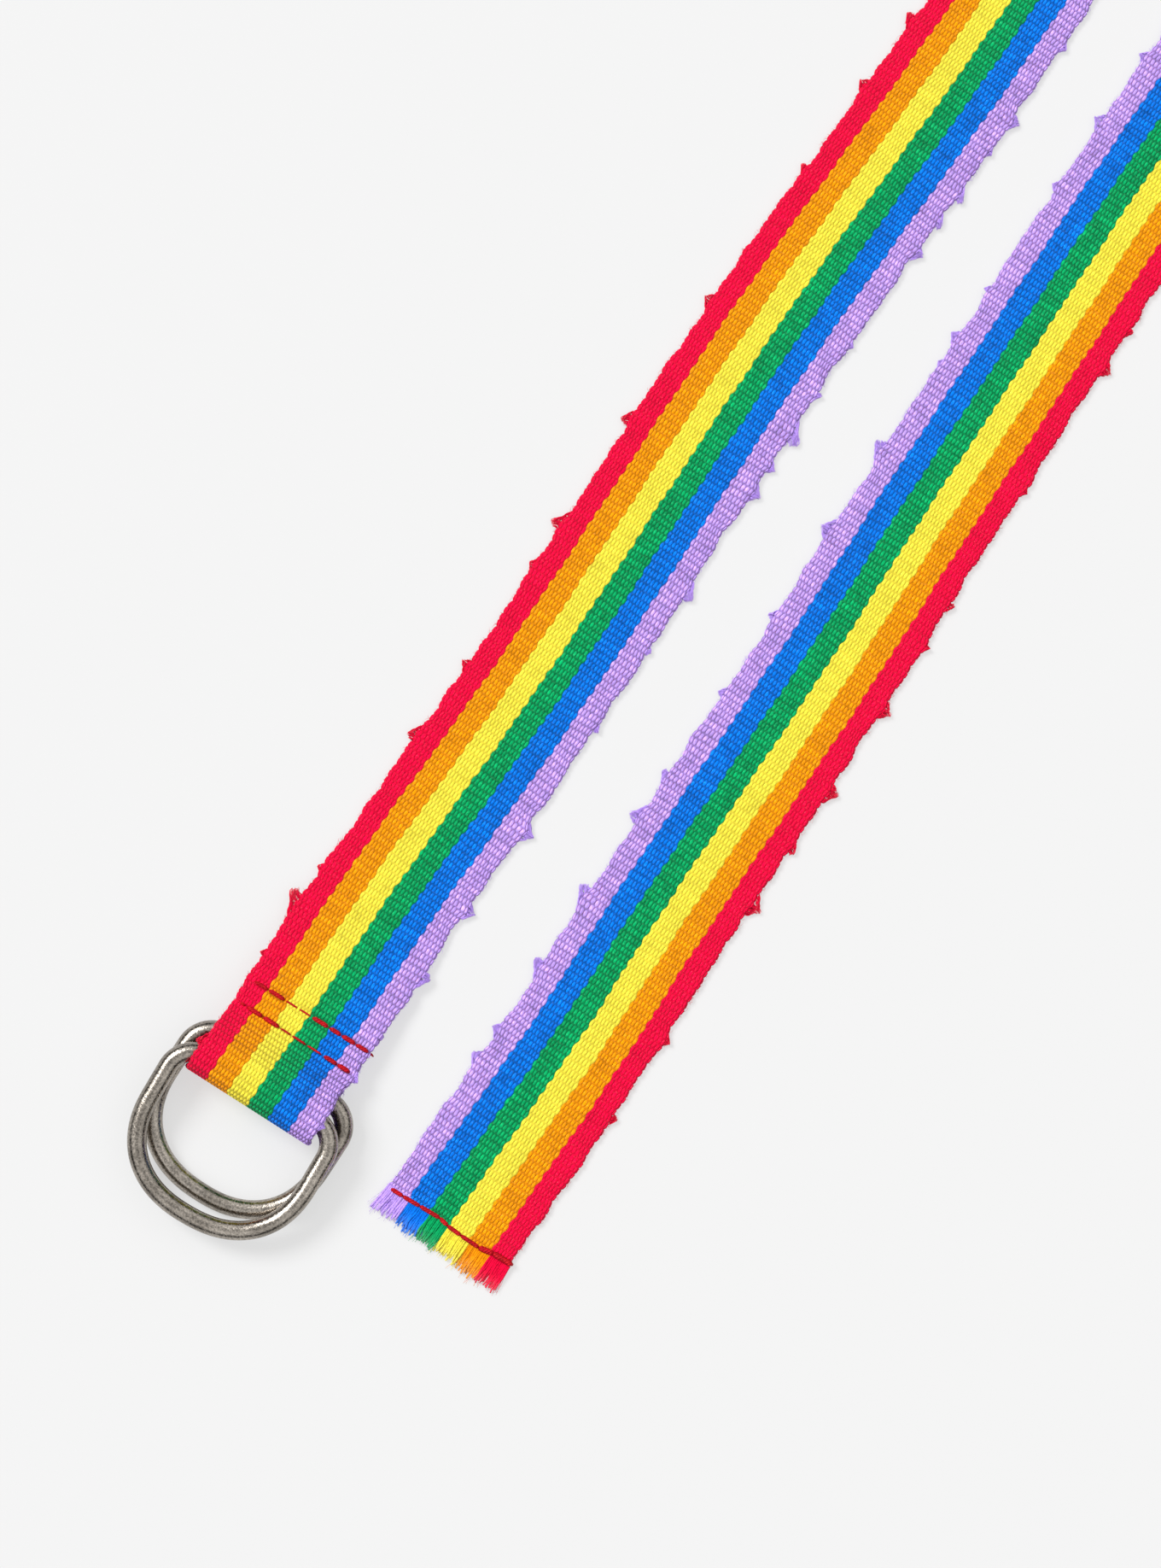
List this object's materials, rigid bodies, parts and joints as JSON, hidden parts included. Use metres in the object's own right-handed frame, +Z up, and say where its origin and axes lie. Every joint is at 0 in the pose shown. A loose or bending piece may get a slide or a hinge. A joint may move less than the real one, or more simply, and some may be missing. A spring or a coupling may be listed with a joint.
{
  "type": "luggage strap",
  "caption": "Flat striped cotton webbing strap with D-rings sewn into one end, which grip the free end when it is threaded back through them.",
  "frame": {"origin": "centre of the bounding box's bottom face, on the surface that the strap lies on", "axes": "+Y along the strap's two runs, from the D-rings towards the U-turn; +Z up from the table; +X from the run with the rings to the run with the free end"},
  "size_m": [0.1057, 0.5734, 0.038],
  "materials": {
    "webbing": "ribbed cotton webbing, six lengthwise stripes of red, orange, yellow, green, blue and lavender, matt",
    "ring_metal": "antique pewter plating, finely speckled, worn bright along the wire",
    "thread": "twisted red sewing thread, slight sheen"
  },
  "bodies": {
    "strap": {"webbing": "webbing", "first_seam_needle_thread": "thread", "first_seam_bobbin_thread": "thread", "second_seam_needle_thread": "thread", "second_seam_bobbin_thread": "thread", "end_seam_needle_thread": "thread", "end_seam_bobbin_thread": "thread"},
    "front_ring": {"front_d_ring": "ring_metal"},
    "rear_ring": {"rear_d_ring": "ring_metal"}
  },
  "joints": [
    {"name": "front_ring_swing", "type": "hinge", "parent": "strap", "child": "front_ring", "pos_m": [-0.02787, -0.2474, 0.01042], "axis": [-0.9981, -0.061, 0], "range_deg": [0, 180]},
    {"name": "rear_ring_swing", "type": "hinge", "parent": "strap", "child": "rear_ring", "pos_m": [-0.02693, -0.24081, 0.0056], "axis": [-0.9999, -0.014, 0], "range_deg": [-160, 0]}
  ]
}
